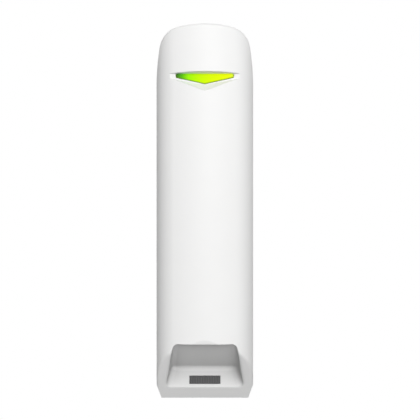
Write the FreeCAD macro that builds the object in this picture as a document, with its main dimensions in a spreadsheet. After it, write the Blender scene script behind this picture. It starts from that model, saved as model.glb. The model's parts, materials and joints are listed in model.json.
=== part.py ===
"""A slim indoor motion detector with a curtain-shaped field, for a wall or a window reveal.

Frame: millimetres, +Z up, +X to the right of someone who faces the detector, +Y into the wall.
The wall plane is Y = 0 and the origin is the middle of the bracket's two wall screws.
"""

import FreeCAD, Part
import os
import re
import Sketcher
from FreeCAD import Placement, Rotation, Vector

# Driving sizes, in millimetres and degrees. A height is measured up from the lowest edge of the
# housing, a drop is measured down from its top, and a depth is measured forward from the wall.
# A cutting solid runs past the face that it opens by cut_past.
SIZES = {
    "cut_past": 1.0,
    # Housing
    "body_height": 134.0,
    "body_width": 34.7,
    "body_depth": 44.0,
    "wall": 1.8,
    "plan_crown_radius": 32.0,
    "plan_corner_radius": 9.5,
    "top_crown_radius": 47.4,
    "top_corner_radius": 8.6,
    "top_flank_radius": 90.0,
    "top_flank_drop": 21.2,
    "top_flank_lean": 1.5,
    "top_edge_radius": 1.2,
    "foot_chamfer_width": 1.6,
    "foot_chamfer_height": 5.1,
    "slope_start": 20.4,
    "slope_angle": 50.0,
    "slope_radius": 8.0,
    "slope_skim": 0.05,
    "parting_depth": 7.0,
    # Scoop in front of the sensor window
    "visor_height": 20.8,
    "visor_reach": 2.9,
    "ceiling_angle": 36.0,
    "lip_height": 4.2,
    "scoop_back_tilt": 20.0,
    "scoop_top_width": 22.6,
    "scoop_foot_width": 31.4,
    "scoop_draft": 6.5,
    "scoop_edge_radius": 2.0,
    "scoop_wall": 1.6,
    # Chevron indicator
    "chevron_sink": 2.55,
    "chevron_half_width": 13.4,
    "chevron_drop": 16.9,
    "chevron_apex_drop": 23.8,
    "chevron_tip_drop": 19.7,
    "chevron_floor_drop": 17.55,
    "chevron_floor_apex_drop": 21.5,
    "chevron_floor_tip_drop": 19.05,
    "chevron_pad_margin": 2.0,
    "chevron_pad_wall": 1.65,
    "lens_half_width": 10.33,
    "lens_drop": 17.6,
    "lens_tip_drop": 18.95,
    "lens_apex_drop": 21.2,
    "lens_corner": 0.45,
    "lens_sink": 0.1,
    "lens_clearance": 0.08,
    "lens_flange": 1.2,
    "lens_flange_thickness": 1.2,
    "guide_half_width": 10.2,
    "guide_rear_half_width": 6.2,
    "guide_foot_drop": 22.2,
    "guide_drop": 16.8,
    "guide_rear_drop": 18.9,
    "guide_leg_width": 1.3,
    "guide_leg_depth": 5.0,
    "guide_leg_lap": 0.2,
    # Rear cover and the recess that hides the bracket
    "rear_gap": 0.4,
    "rim_wall": 2.8,
    "plate_depth": 3.0,
    "plate_thickness": 2.0,
    "skirt_length": 2.2,
    "skirt_wall": 1.2,
    "skirt_clearance": 0.15,
    "latch_height": 5.7,
    "latch_size": 2.9,
    "latch_reach": 1.8,
    "latch_proud": 0.3,
    # Wall bracket
    "bracket_thickness": 2.4,
    "bracket_clearance": 0.35,
    "wall_screw_spacing": 80.0,
    "wall_screw_hole": 4.4,
    "wall_screw_sink": 8.4,
    "wall_screw_sink_depth": 1.6,
    "hook_x": 10.7,
    "hook_width": 5.0,
    "hook_stem": 2.4,
    "hook_toe": 3.0,
    "hook_toe_thickness": 1.7,
    "hook_clearance": 0.2,
    "hook_side_clearance": 0.3,
    "hook_root": 0.5,
    "hook_low": 54.0,
    "hook_high_drop": 34.0,
    "slide_travel": 6.0,
    "slide_clearance": 0.05,
    "tab_foot": 49.5,
    "tab_head": 66.5,
    "tab_half_width": 7.0,
    "tab_slit": 0.9,
    "tab_bridge": 1.4,
    "tab_hole_height": 54.0,
    # Screws
    "cover_screw_drop": 9.5,
    "cover_screw_top_x": 9.5,
    "cover_screw_low": 27.0,
    "cover_screw_low_x": 11.8,
    "cover_screw_radius": 1.0,
    "cover_screw_length": 8.0,
    "screw_head_radius": 1.9,
    "screw_head_height": 1.15,
    "screw_clearance": 0.05,
    "screw_hole_clearance": 0.3,
    "screw_seat": 0.8,
    "screw_end_gap": 0.1,
    "column_radius": 2.3,
    "board_screw_radius": 0.9,
    "board_screw_length": 4.5,
    "drive_radius": 0.8,
    "drive_depth": 0.6,
    # Main board
    "board_rear": 11.0,
    "board_thickness": 1.2,
    "board_half_width": 11.5,
    "board_foot": 33.0,
    "board_drop": 16.0,
    "board_corner": 1.5,
    "board_post_x": 9.3,
    "board_post_low": 38.0,
    "board_post_drop": 20.5,
    # Battery
    "battery_radius": 8.5,
    "battery_length": 34.5,
    "battery_nub_radius": 2.9,
    "battery_nub": 0.9,
    "battery_edge": 0.5,
    "cradle_gap": 1.0,
    "cradle_floor": 1.4,
    "cradle_clearance": 0.3,
    "cradle_half_width": 10.2,
    "cradle_rise": 11.3,
    "cradle_end": 1.8,
    "spring_length": 3.4,
    "spring_wire": 0.3,
    "spring_radius": 3.0,
    "contact_half_width": 3.5,
    "contact_sheet": 0.4,
    "contact_leg": 1.4,
    "contact_dimple": 1.5,
    "contact_inset": 0.6,
    "contact_clearance": 0.05,
    "contact_side_gap": 0.1,
    "contact_slot_depth": 0.5,
    "coil_lap": 0.1,
    "coil_turns": 3,
    # Parts on the main board
    "led_width": 2.0,
    "led_spacing": 4.0,
    "led_tall": 1.2,
    "led_height": 1.4,
    "led_gap": 0.3,
    "shield_left": 10.0,
    "shield_right": 4.0,
    "shield_gap": 0.6,
    "shield_rise": 2.6,
    "shield_sheet": 0.3,
    "chip_size": 4.0,
    "chip_rise": 0.9,
    "controller_size": 7.0,
    "controller_foot": 41.0,
    "crystal_width": 3.6,
    "crystal_length": 5.0,
    "crystal_rise": 1.2,
    "crystal_gap": 1.0,
    "passive_length": 1.6,
    "passive_width": 0.8,
    "passive_pitch": 1.2,
    "passive_margin": 1.0,
    "passive_low_x": -9.6,
    "passive_high_x": 6.0,
    "antenna_x": 4.0,
    "antenna_width": 3.0,
    "antenna_sheet": 0.4,
    "antenna_foot_drop": 18.4,
    "antenna_drop": 5.0,
    "antenna_fold": 7.5,
    "socket_half_width": 6.0,
    "socket_foot": 34.3,
    "socket_height": 3.4,
    "socket_rise": 1.8,
    # Tamper switch and power button, between the main board and the rear cover
    "tamper_height": 61.0,
    "tamper_switch_size": 6.0,
    "tamper_switch_rise": 2.2,
    "tamper_tip_gap": 0.15,
    "tamper_rod_radius": 1.7,
    "tamper_hole_clearance": 0.3,
    "tamper_flange_radius": 2.6,
    "tamper_flange": 0.8,
    "tamper_flange_gap": 1.2,
    "tamper_pin_radius": 0.8,
    "tamper_pin_reach": 0.6,
    "tamper_spring_radius": 2.0,
    "tamper_spring_wire": 0.25,
    "key_travel": 0.6,
    "well_clearance": 0.25,
    "power_height": 78.0,
    "power_switch_size": 6.0,
    "power_switch_rise": 3.0,
    "power_cap_radius": 2.5,
    "power_flange_radius": 3.3,
    "power_flange": 0.8,
    "power_sink": 0.3,
    "power_pin_radius": 0.9,
    # Motion sensors behind the scoop
    "window_height": 6.8,
    "window_width": 11.0,
    "window_rise": 2.85,
    "window_sink": 0.25,
    "window_clearance": 0.1,
    "window_flange": 0.8,
    "window_flange_thickness": 1.0,
    "gasket_thickness": 1.0,
    "gasket_band": 0.6,
    "optics_clearance": 0.1,
    "sensor_tilt": 28.0,
    "sensor_depth": 11.9,
    "sensor_height": 14.2,
    "sensor_board_half_width": 10.6,
    "sensor_board_half_height": 5.9,
    "sensor_board_thickness": 1.0,
    "sensor_x": 4.9,
    "sensor_radius": 4.15,
    "sensor_base_radius": 4.6,
    "sensor_base": 0.6,
    "sensor_rise": 4.2,
    "filter_width": 4.4,
    "filter_height": 3.6,
    "filter_thickness": 0.35,
    "shroud_wall": 0.8,
    "shroud_edge": 0.2,
    "shroud_box": 4.9,
    "shroud_flange": 1.0,
    "optics_screw_x": 10.4,
    "optics_post_radius": 1.9,
    "optics_screw_radius": 0.7,
    "optics_screw_length": 1.8,
    "optics_head_radius": 1.4,
    "optics_head": 0.9,
    "sensor_socket_half_width": 6.0,
    "sensor_socket_low": 1.2,
    "sensor_socket_high": 4.8,
    "sensor_socket_rise": 1.6,
    "ribbon_half_width": 5.0,
    "ribbon_thickness": 0.25,
    "ribbon_side_gap": 0.2,
    "ribbon_end_gap": 0.1,
    "ribbon_rise": 1.5,
    "ribbon_drop": 3.0,
    "socket_floor": 1.0,
}

doc = FreeCAD.newDocument("CurtainDetector")
sheet = doc.addObject("Spreadsheet::Sheet", "Sizes")
for row, (alias, size) in enumerate(SIZES.items(), start=1):
    sheet.set(f"A{row}", alias)
    sheet.set(f"B{row}", str(size))
    sheet.setAlias(f"B{row}", alias)
doc.recompute()


# Expressions on the sheet's cells

def formula(text):
    """Writes the sheet's name before each size that an expression uses."""
    return re.sub(r"[a-z][a-z_]*", lambda word: f"Sizes.{word[0]}" if word[0] in SIZES else word[0], text)


def value(text):
    return float(sheet.evalExpression(formula(text)))


def bind(item, path, text):
    item.setExpression(path, formula(text))


FRONT_Y = "(-body_depth)"
TOP_Z = "(body_height / 2)"
BOTTOM_Z = "(-body_height / 2)"
SIDE_X = "(body_width / 2)"
MARGIN = "5"


def height(text):
    """The Z of a height above the lowest edge of the housing."""
    return f"({BOTTOM_Z} + {text})"


def below_top(text):
    """The Z of a drop below the top of the housing."""
    return f"({TOP_Z} - ({text}))"


# Sketches and features

def new_body(name):
    return doc.addObject("PartDesign::Body", name)


def sketch(body, name, plane, shift="0"):
    """An empty sketch on one of the body's own planes, moved along the plane's normal."""
    item = body.newObject("Sketcher::SketchObject", name)
    support = [plane_of for plane_of in body.Origin.OriginFeatures if plane_of.Role == plane]
    item.AttachmentSupport = [(support[0], "")]
    item.MapMode = "FlatFace"
    bind(item, "AttachmentOffset.Base.z", shift)
    return item


def hold(item, geometry, point, x, y):
    """Ties one point of a sketch to its coordinates."""
    for kind, text in (("DistanceX", x), ("DistanceY", y)):
        index = item.addConstraint(Sketcher.Constraint(kind, -1, 1, geometry, point, value(text)))
        bind(item, f"Constraints[{index}]", text)


def polygon(item, corners):
    """A closed outline of straight lines through the given corners."""
    first = item.GeometryCount
    points = [Vector(value(x), value(y), 0) for x, y in corners]
    for start, end in zip(points, points[1:] + points[:1]):
        item.addGeometry(Part.LineSegment(start, end), False)
    count = len(corners)
    for index in range(count):
        following = first + (index + 1) % count
        item.addConstraint(Sketcher.Constraint("Coincident", first + index, 2, following, 1))
    for index, (x, y) in enumerate(corners):
        hold(item, first + index, 1, x, y)


def rectangle(item, xs, ys):
    polygon(item, [(xs[0], ys[0]), (xs[1], ys[0]), (xs[1], ys[1]), (xs[0], ys[1])])


def circle(item, x, y, radius):
    ring = Part.Circle(Vector(value(x), value(y), 0), Vector(0, 0, 1), value(radius))
    index = item.addGeometry(ring, False)
    hold(item, index, 3, x, y)
    constraint = item.addConstraint(Sketcher.Constraint("Radius", index, value(radius)))
    bind(item, f"Constraints[{constraint}]", radius)


def chain(item, parts, closed=True):
    """Joins the ends of neighbouring lines and arcs, tangent where asked.

    Each entry is (geometry, first end, last end, tangent to the next one)."""
    for here, there in zip(parts, parts[1:] + parts[:1]):
        kind = "Tangent" if here[3] else "Coincident"
        item.addConstraint(Sketcher.Constraint(kind, here[0], here[2], there[0], there[1]))


def arc_between(centre, radius, start, end):
    """An arc of a sketch, anticlockwise from one point to another."""
    base = Part.Circle(centre, Vector(0, 0, 1), radius)
    return Part.ArcOfCircle(base, base.parameter(start), base.parameter(end))


def touch_corner(crown_centre, crown_radius, flank_centre, flank_radius, corner_radius):
    """Centre of the corner circle that lies inside both the crown's and the flank's circle."""
    near = crown_radius - corner_radius
    far = flank_radius - corner_radius
    line = flank_centre - crown_centre
    span = line.Length
    along = (near ** 2 - far ** 2 + span ** 2) / (2 * span)
    across = (near ** 2 - along ** 2) ** 0.5
    line.normalize()
    sideways = Vector(-line.y, line.x, 0)
    options = [crown_centre + line * along + sideways * side for side in (across, -across)]
    return max(options, key=lambda point: point.x)


def mirrored(point):
    return Vector(-point.x, point.y, 0)


def fix_radius(item, geometry, text):
    index = item.addConstraint(Sketcher.Constraint("Radius", geometry, value(text)))
    bind(item, f"Constraints[{index}]", text)


def front_outline(item, inset):
    """The detector seen from the front: a three-radius arch on straight sides and chamfered feet."""
    side = f"({SIDE_X} - {inset})"
    top = f"({TOP_Z} - {inset})"
    foot = f"({BOTTOM_Z} + {inset})"
    crown_radius = f"(top_crown_radius - {inset})"
    corner_radius = f"(top_corner_radius - {inset})"
    flank_radius = f"(top_flank_radius - {inset})"
    flank_start = f"({TOP_Z} - top_flank_drop)"
    # The flanks leave the straight sides at a slight angle: where they were tangent, the housing's
    # rounded front corners would end in slivers.
    flank_z = f"({flank_start} - top_flank_lean)"
    flank_x = f"({side} - sqrt({flank_radius} ^ 2 - top_flank_lean ^ 2))"
    # A chamfer's corners move along the side and the foot when the outline is set in.
    slant = "(foot_chamfer_height / foot_chamfer_width)"
    slant_length = "sqrt(foot_chamfer_height ^ 2 + foot_chamfer_width ^ 2)"
    knee = f"({BOTTOM_Z} + foot_chamfer_height - {inset} * ({slant} - {slant_length} / foot_chamfer_width))"
    toe_cut = f"({knee} - {foot}) / {slant}"
    toe = f"({side} - {toe_cut})"

    crown_centre = Vector(0, value(f"{top} - {crown_radius}"), 0)
    flank_centre = Vector(value(flank_x), value(flank_z), 0)
    corner_centre = touch_corner(crown_centre, value(crown_radius), flank_centre, value(flank_radius),
                                 value(corner_radius))
    crown_touch = crown_centre + (corner_centre - crown_centre).normalize() * value(crown_radius)
    flank_touch = flank_centre + (corner_centre - flank_centre).normalize() * value(flank_radius)
    flank_end = Vector(value(side), value(flank_start), 0)
    knee_point = Vector(value(side), value(knee), 0)
    toe_point = Vector(value(toe), value(foot), 0)

    right_flank = item.addGeometry(
        arc_between(flank_centre, value(flank_radius), flank_end, flank_touch), False)
    right_corner = item.addGeometry(
        arc_between(corner_centre, value(corner_radius), flank_touch, crown_touch), False)
    crown = item.addGeometry(
        arc_between(crown_centre, value(crown_radius), crown_touch, mirrored(crown_touch)), False)
    left_corner = item.addGeometry(
        arc_between(mirrored(corner_centre), value(corner_radius), mirrored(crown_touch),
                    mirrored(flank_touch)), False)
    left_flank = item.addGeometry(
        arc_between(mirrored(flank_centre), value(flank_radius), mirrored(flank_touch),
                    mirrored(flank_end)), False)
    left_side = item.addGeometry(Part.LineSegment(mirrored(flank_end), mirrored(knee_point)), False)
    left_slant = item.addGeometry(Part.LineSegment(mirrored(knee_point), mirrored(toe_point)), False)
    base = item.addGeometry(Part.LineSegment(mirrored(toe_point), toe_point), False)
    right_slant = item.addGeometry(Part.LineSegment(toe_point, knee_point), False)
    right_side = item.addGeometry(Part.LineSegment(knee_point, flank_end), False)
    chain(item, [
        (right_flank, 1, 2, True), (right_corner, 1, 2, True), (crown, 1, 2, True),
        (left_corner, 1, 2, True), (left_flank, 1, 2, False), (left_side, 1, 2, False),
        (left_slant, 1, 2, False), (base, 1, 2, False), (right_slant, 1, 2, False),
        (right_side, 1, 2, False),
    ])
    fix_radius(item, crown, crown_radius)
    for corner in (left_corner, right_corner):
        fix_radius(item, corner, corner_radius)
    hold(item, left_flank, 3, f"-{flank_x}", flank_z)
    hold(item, right_flank, 3, flank_x, flank_z)
    hold(item, crown, 3, "0", f"{top} - {crown_radius}")
    hold(item, left_side, 1, f"-{side}", flank_start)
    hold(item, right_side, 2, side, flank_start)
    hold(item, left_slant, 1, f"-{side}", knee)
    hold(item, left_slant, 2, f"-{toe}", foot)
    hold(item, right_slant, 1, toe, foot)
    hold(item, right_slant, 2, side, knee)


def plan_outline(item, inset):
    """The detector seen from above: a crown, two round corners and straight sides, round its front."""
    side = f"({SIDE_X} - {inset})"
    crown_radius = f"(plan_crown_radius - {inset})"
    corner_radius = f"(plan_corner_radius - {inset})"
    apex = f"({FRONT_Y} + {inset})"
    crown_centre = Vector(0, value(f"{apex} + {crown_radius}"), 0)
    reach = value(f"{crown_radius} - {corner_radius}")
    across = value(f"{side} - {corner_radius}")
    corner_centre = Vector(across, crown_centre.y - (reach ** 2 - across ** 2) ** 0.5, 0)
    crown_touch = crown_centre + (corner_centre - crown_centre).normalize() * value(crown_radius)
    side_touch = Vector(value(side), corner_centre.y, 0)
    back = Vector(value(side), value(MARGIN), 0)
    left_side = item.addGeometry(Part.LineSegment(mirrored(back), mirrored(side_touch)), False)
    left_corner = item.addGeometry(
        arc_between(mirrored(corner_centre), value(corner_radius), mirrored(side_touch),
                    mirrored(crown_touch)), False)
    crown = item.addGeometry(
        arc_between(crown_centre, value(crown_radius), mirrored(crown_touch), crown_touch), False)
    right_corner = item.addGeometry(
        arc_between(corner_centre, value(corner_radius), crown_touch, side_touch), False)
    right_side = item.addGeometry(Part.LineSegment(side_touch, back), False)
    rear = item.addGeometry(Part.LineSegment(back, mirrored(back)), False)
    chain(item, [
        (left_side, 1, 2, True), (left_corner, 1, 2, True), (crown, 1, 2, True),
        (right_corner, 1, 2, True), (right_side, 1, 2, False), (rear, 1, 2, False),
    ])
    fix_radius(item, crown, crown_radius)
    for corner in (left_corner, right_corner):
        fix_radius(item, corner, corner_radius)
    hold(item, crown, 3, "0", f"{apex} + {crown_radius}")
    hold(item, left_side, 1, f"-{side}", MARGIN)
    hold(item, right_side, 2, side, MARGIN)
    for line in (left_side, right_side):
        item.addConstraint(Sketcher.Constraint("Vertical", line))


def extrude(kind, body, profile, length=None, both_ways=False, reverse=False):
    """A pad or a pocket of a sketch; with no length it goes right through."""
    feature = body.newObject(f"PartDesign::{kind}", f"{profile.Name}_{kind}")
    feature.Profile = profile
    if length is None:
        feature.Type = "ThroughAll"
    else:
        bind(feature, "Length", length)
    if both_ways:
        feature.SideType = "Symmetric"
    feature.Reversed = reverse
    return feature


def slope_outline(item, inset):
    """What the sloped foot leaves out, seen from the side: the slope bends into the front in an arc.

    The arc starts slope_skim ahead of the front, so that it meets the curved front at an angle."""
    radius = f"(slope_radius - {inset})"
    centre_y = f"({FRONT_Y} + slope_radius - slope_skim)"
    centre_z = (f"({BOTTOM_Z} + slope_start + slope_skim * tan(slope_angle)"
                f" + slope_radius * tan((90 - slope_angle) / 2))")
    ahead = f"({FRONT_Y} - {MARGIN})"
    low = f"({BOTTOM_Z} - {MARGIN})"
    end = f"({FRONT_Y} + (slope_start + {inset} / cos(slope_angle) + {MARGIN}) / tan(slope_angle))"
    centre = Vector(value(centre_y), value(centre_z), 0)
    downward = Vector(-value("sin(slope_angle)"), -value("cos(slope_angle)"), 0)
    start = centre - Vector(value(radius), 0, 0)
    finish = centre + downward * value(radius)
    high_point = Vector(value(ahead), centre.y, 0)
    end_point = Vector(value(end), value(low), 0)
    low_point = Vector(value(ahead), value(low), 0)
    top = item.addGeometry(Part.LineSegment(high_point, start), False)
    bend = item.addGeometry(arc_between(centre, value(radius), start, finish), False)
    slope = item.addGeometry(Part.LineSegment(finish, end_point), False)
    base = item.addGeometry(Part.LineSegment(end_point, low_point), False)
    rise = item.addGeometry(Part.LineSegment(low_point, high_point), False)
    chain(item, [(top, 1, 2, False), (bend, 1, 2, True), (slope, 1, 2, False), (base, 1, 2, False),
                 (rise, 1, 2, False)])
    item.addConstraint(Sketcher.Constraint("Horizontal", top))
    fix_radius(item, bend, radius)
    hold(item, bend, 3, centre_y, centre_z)
    hold(item, top, 1, ahead, centre_z)
    hold(item, slope, 2, end, low)
    hold(item, base, 2, ahead, low)


def envelope(name, inset, rear):
    """The housing's outer form, or the same form set in by a wall, from a depth forward."""
    body = new_body(name)
    outline = sketch(body, name + "_front", "XZ_Plane", rear)
    front_outline(outline, inset)
    extrude("Pad", body, outline, f"body_depth - {rear}")
    plan = sketch(body, name + "_plan", "XY_Plane")
    plan_outline(plan, inset)
    rectangle(plan, (f"-{SIDE_X} - {MARGIN}", f"{SIDE_X} + {MARGIN}"),
              (f"{FRONT_Y} - {MARGIN}", f"2 * {MARGIN}"))
    extrude("Pocket", body, plan, both_ways=True)
    slope = sketch(body, name + "_slope", "YZ_Plane")
    slope_outline(slope, inset)
    extrude("Pocket", body, slope, both_ways=True)
    return body


def pick_edges(shape, test):
    """Names of the edges whose middle passes a test."""
    names = []
    for number, edge in enumerate(shape.Edges, start=1):
        if test(edge.valueAt((edge.FirstParameter + edge.LastParameter) / 2)):
            names.append(f"Edge{number}")
    return names


def round_edges(body, name, test, radius):
    """Rounds the edges of a body's last feature whose middle passes a test."""
    doc.recompute()
    base = body.Tip
    feature = body.newObject("PartDesign::Fillet", name)
    feature.Base = (base, pick_edges(base.Shape, test))
    bind(feature, "Radius", radius)
    return feature


# Simple solids and booleans

ALONG_Y = Rotation(Vector(1, 0, 0), -90)
ALONG_X = Rotation(Vector(0, 1, 0), 90)
TURNS = {"x": ALONG_X, "y": ALONG_Y, "z": Rotation()}


def depth(low, high):
    """The two ends along Y of a stretch between two depths in front of the wall."""
    return f"-({high})", f"-({low})"


def around(middle, width):
    return f"({middle}) - ({width}) / 2", f"({middle}) + ({width}) / 2"


def block(name, xs, ys, zs):
    """A box between two corners, whose sizes and place follow expressions."""
    part = doc.addObject("Part::Box", name)
    for side, axis, (low, high) in (("Length", "x", xs), ("Width", "y", ys), ("Height", "z", zs)):
        bind(part, side, f"({high}) - ({low})")
        bind(part, f"Placement.Base.{axis}", low)
    return part


def rod(name, axis, radius, across, span):
    """A cylinder along an axis: its centre on the other two axes, then its two ends."""
    part = doc.addObject("Part::Cylinder", name)
    part.Placement = Placement(Vector(), TURNS[axis])
    bind(part, "Radius", radius)
    bind(part, "Height", f"({span[1]}) - ({span[0]})")
    bind(part, f"Placement.Base.{axis}", span[0])
    for other, text in zip([letter for letter in "xyz" if letter != axis], across):
        bind(part, f"Placement.Base.{other}", text)
    return part


def fuse(name, parts):
    if len(parts) == 1:
        return parts[0]
    joined = doc.addObject("Part::MultiFuse", name)
    joined.Shapes = parts
    return joined


def cut(name, base, tools):
    part = doc.addObject("Part::Cut", name)
    part.Base = base
    part.Tool = fuse(name + "_tools", tools)
    return part


def common(name, parts):
    shared = doc.addObject("Part::MultiCommon", name)
    shared.Shapes = parts
    return shared


def group(name, parts):
    """Separate solids that share one node."""
    joined = doc.addObject("Part::Compound", name)
    joined.Links = parts
    return joined


def prism(name, corners, plane, start, length, both_ways=False):
    """A body padded from a polygon."""
    body = new_body(name)
    outline = sketch(body, name + "_outline", plane, start)
    polygon(outline, corners)
    extrude("Pad", body, outline, length, both_ways=both_ways)
    return body


class Tilt:
    """A frame turned about X: 'along' runs up its face and 'out' points away from it, forward."""

    def __init__(self, y, z, angle):
        self.y = y
        self.z = z
        self.angle = angle

    def point(self, along, out):
        return (f"({self.y}) - ({along}) * sin({self.angle}) - ({out}) * cos({self.angle})",
                f"({self.z}) + ({along}) * cos({self.angle}) - ({out}) * sin({self.angle})")

    def slab(self, name, middle, width, along, out):
        """A block of the turned frame, centred at an X."""
        corners = [self.point(along[0], out[0]), self.point(along[1], out[0]),
                   self.point(along[1], out[1]), self.point(along[0], out[1])]
        body = new_body(name)
        outline = sketch(body, name + "_outline", "YZ_Plane", middle)
        polygon(outline, corners)
        extrude("Pad", body, outline, width, both_ways=True)
        return body

    def place(self, part, x, along, out):
        """Puts a part's own Z along 'out' and its own Y along 'along'."""
        part.Placement = Placement(Vector(), Rotation(Vector(1, 0, 0), 90))
        y, z = self.point(along, out)
        bind(part, "Placement.Base.x", x)
        bind(part, "Placement.Base.y", y)
        bind(part, "Placement.Base.z", z)
        bind(part, "Placement.Rotation.Angle", f"90 + {self.angle}")

    def rod(self, name, radius, x, along, out):
        part = doc.addObject("Part::Cylinder", name)
        bind(part, "Radius", radius)
        bind(part, "Height", f"({out[1]}) - ({out[0]})")
        self.place(part, x, along, out[0])
        return part

    def frame_sketch(self, name, half_width, half_height, out):
        """A rectangle in the turned frame, as a section of a loft."""
        item = doc.addObject("Sketcher::SketchObject", name)
        self.place(item, "0", "0", out)
        rectangle(item, (f"-{half_width}", half_width), (f"-{half_height}", half_height))
        return item


def loft(name, sections):
    part = doc.addObject("Part::Loft", name)
    part.Sections = sections
    part.Solid = True
    part.Ruled = True
    return part


# The scoop: a wedge-shaped recess in the slope, with the sensor window on its back wall

LIP_Y = f"({FRONT_Y} + (slope_start - lip_height) / tan(slope_angle))"
LIP_Z = height("lip_height")


def scoop_body(name, grow):
    """The scoop's space, or the same space grown by the wall that surrounds it."""
    body = new_body(name)
    flare = "((scoop_foot_width - scoop_top_width) / 2 / (visor_height - lip_height))"

    def half_width(above):
        return f"(scoop_top_width / 2 + {grow} + (visor_height - ({above})) * {flare})"

    mouth = sketch(body, name + "_mouth", "XZ_Plane", "body_depth")
    high = f"(slope_start + {MARGIN})"
    low = f"(0 - {MARGIN})"
    polygon(mouth, [
        (f"-{half_width(low)}", height(low)), (half_width(low), height(low)),
        (half_width(high), height(high)), (f"-{half_width(high)}", height(high)),
    ])
    taper = extrude("Pad", body, mouth, f"slope_start / tan(slope_angle) + {MARGIN}", reverse=True)
    bind(taper, "TaperAngle", "-scoop_draft")

    ahead = f"({FRONT_Y} - 2 * {MARGIN})"
    behind = f"({FRONT_Y} + slope_start / tan(slope_angle) + 3 * {MARGIN})"
    above = height(f"slope_start + 4 * {MARGIN}")
    below = height(f"(0 - 4 * {MARGIN})")
    visor = height(f"visor_height + {grow}")
    # The ceiling is level under the visor, then runs down to the corner with the back wall.
    bend_y = f"({FRONT_Y} + visor_reach + {grow} * (1 / cos(ceiling_angle) - 1) / tan(ceiling_angle))"
    back_y = f"({LIP_Y} + {grow} / cos(scoop_back_tilt))"
    corner_z = (f"(({visor} - ({back_y} - {LIP_Z} * tan(scoop_back_tilt) - {bend_y})"
                f" * tan(ceiling_angle)) / (1 + tan(scoop_back_tilt) * tan(ceiling_angle)))")
    corner_y = f"({back_y} + ({corner_z} - {LIP_Z}) * tan(scoop_back_tilt))"
    side = sketch(body, name + "_side", "YZ_Plane")
    polygon(side, [
        (ahead, visor), (bend_y, visor), (corner_y, corner_z),
        (f"{back_y} + ({below} - {LIP_Z}) * tan(scoop_back_tilt)", below),
        (behind, below), (behind, above), (ahead, above),
    ])
    extrude("Pocket", body, side, both_ways=True)
    if grow == "0":
        inside = value(FRONT_Y) + value("slope_skim")
        foot = value(BOTTOM_Z)
        round_edges(body, name + "_edges", lambda point: point.y > inside and point.z > foot,
                    "scoop_edge_radius")
    return body


# Places that several pieces share

PLATE_FRONT = "(plate_depth + plate_thickness)"
BOARD_FRONT = "(board_rear + board_thickness)"
SCREW_HEAD_DEPTH = "(plate_depth + screw_head_height)"
COLUMN_REAR = f"({SCREW_HEAD_DEPTH} + screw_seat)"
CHEVRON_FLOOR = "(body_depth - chevron_sink)"
LENS_FRONT = f"({CHEVRON_FLOOR} - lens_sink)"
PAD_REAR = f"({CHEVRON_FLOOR} - chevron_pad_wall)"
GUIDE_FRONT = f"({PAD_REAR} - lens_flange_thickness)"
LED_DEPTH = f"({BOARD_FRONT} + led_height)"
GUIDE_FOOT = below_top("guide_foot_drop")
GUIDE_REAR_HEAD = below_top("guide_rear_drop")
LED_Z = f"({GUIDE_FOOT} + {GUIDE_REAR_HEAD}) / 2"
BATTERY_Y = f"(-({BOARD_FRONT} + cradle_floor + cradle_clearance + battery_radius))"
CONTROLLER_HEAD = height("controller_foot + controller_size")
CRADLE_FOOT = f"({CONTROLLER_HEAD} + cradle_gap)"
CRADLE_LOW = f"({CRADLE_FOOT} + cradle_end)"
BATTERY_FOOT = f"({CRADLE_LOW} + spring_length)"
BATTERY_HEAD = f"({BATTERY_FOOT} + battery_length)"
CRADLE_HIGH = f"({BATTERY_HEAD} + 2 * contact_sheet)"
CRADLE_HEAD = f"({CRADLE_HIGH} + cradle_end)"
SHIELD_ZS = (f"{CRADLE_HEAD} + shield_gap", f"{GUIDE_FOOT} - shield_gap")
WINDOW_Z = height("window_height")
WINDOW_Y = f"({LIP_Y} + ({WINDOW_Z} - {LIP_Z}) * tan(scoop_back_tilt))"
WINDOW = Tilt(WINDOW_Y, WINDOW_Z, "(-scoop_back_tilt)")
SENSOR = Tilt("(-sensor_depth)", height("sensor_height"), "sensor_tilt")
GASKET_FRONT = "(-(scoop_wall + window_flange_thickness))"
GASKET_REAR = f"({GASKET_FRONT} - gasket_thickness)"
FLANGE_REAR = f"({GASKET_REAR} - shroud_flange)"
GASKET_WIDTH = "(window_width + 2 * (window_flange + gasket_band))"
GASKET_RISE = "(window_rise + 2 * (window_flange + gasket_band))"

COVER_SCREWS = [
    ("top_left", "(-cover_screw_top_x)", below_top("cover_screw_drop")),
    ("top_right", "cover_screw_top_x", below_top("cover_screw_drop")),
    ("low_left", "(-cover_screw_low_x)", height("cover_screw_low")),
    ("low_right", "cover_screw_low_x", height("cover_screw_low")),
]
BOARD_SCREWS = [
    ("low_left", "(-board_post_x)", height("board_post_low")),
    ("low_right", "board_post_x", height("board_post_low")),
    ("high_left", "(-board_post_x)", below_top("board_post_drop")),
    ("high_right", "board_post_x", below_top("board_post_drop")),
]
HOOKS = [
    ("low_left", "(-hook_x)", height("hook_low")),
    ("low_right", "hook_x", height("hook_low")),
    ("high_left", "(-hook_x)", below_top("hook_high_drop")),
    ("high_right", "hook_x", below_top("hook_high_drop")),
]
SIDES = (("left", "-1"), ("right", "1"))


# Front housing

def chevron(item, half_width, top, tip, apex):
    polygon(item, [
        (f"-({half_width})", below_top(top)), (f"-({half_width})", below_top(tip)),
        ("0", below_top(apex)), (half_width, below_top(tip)), (half_width, below_top(top)),
    ])


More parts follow.
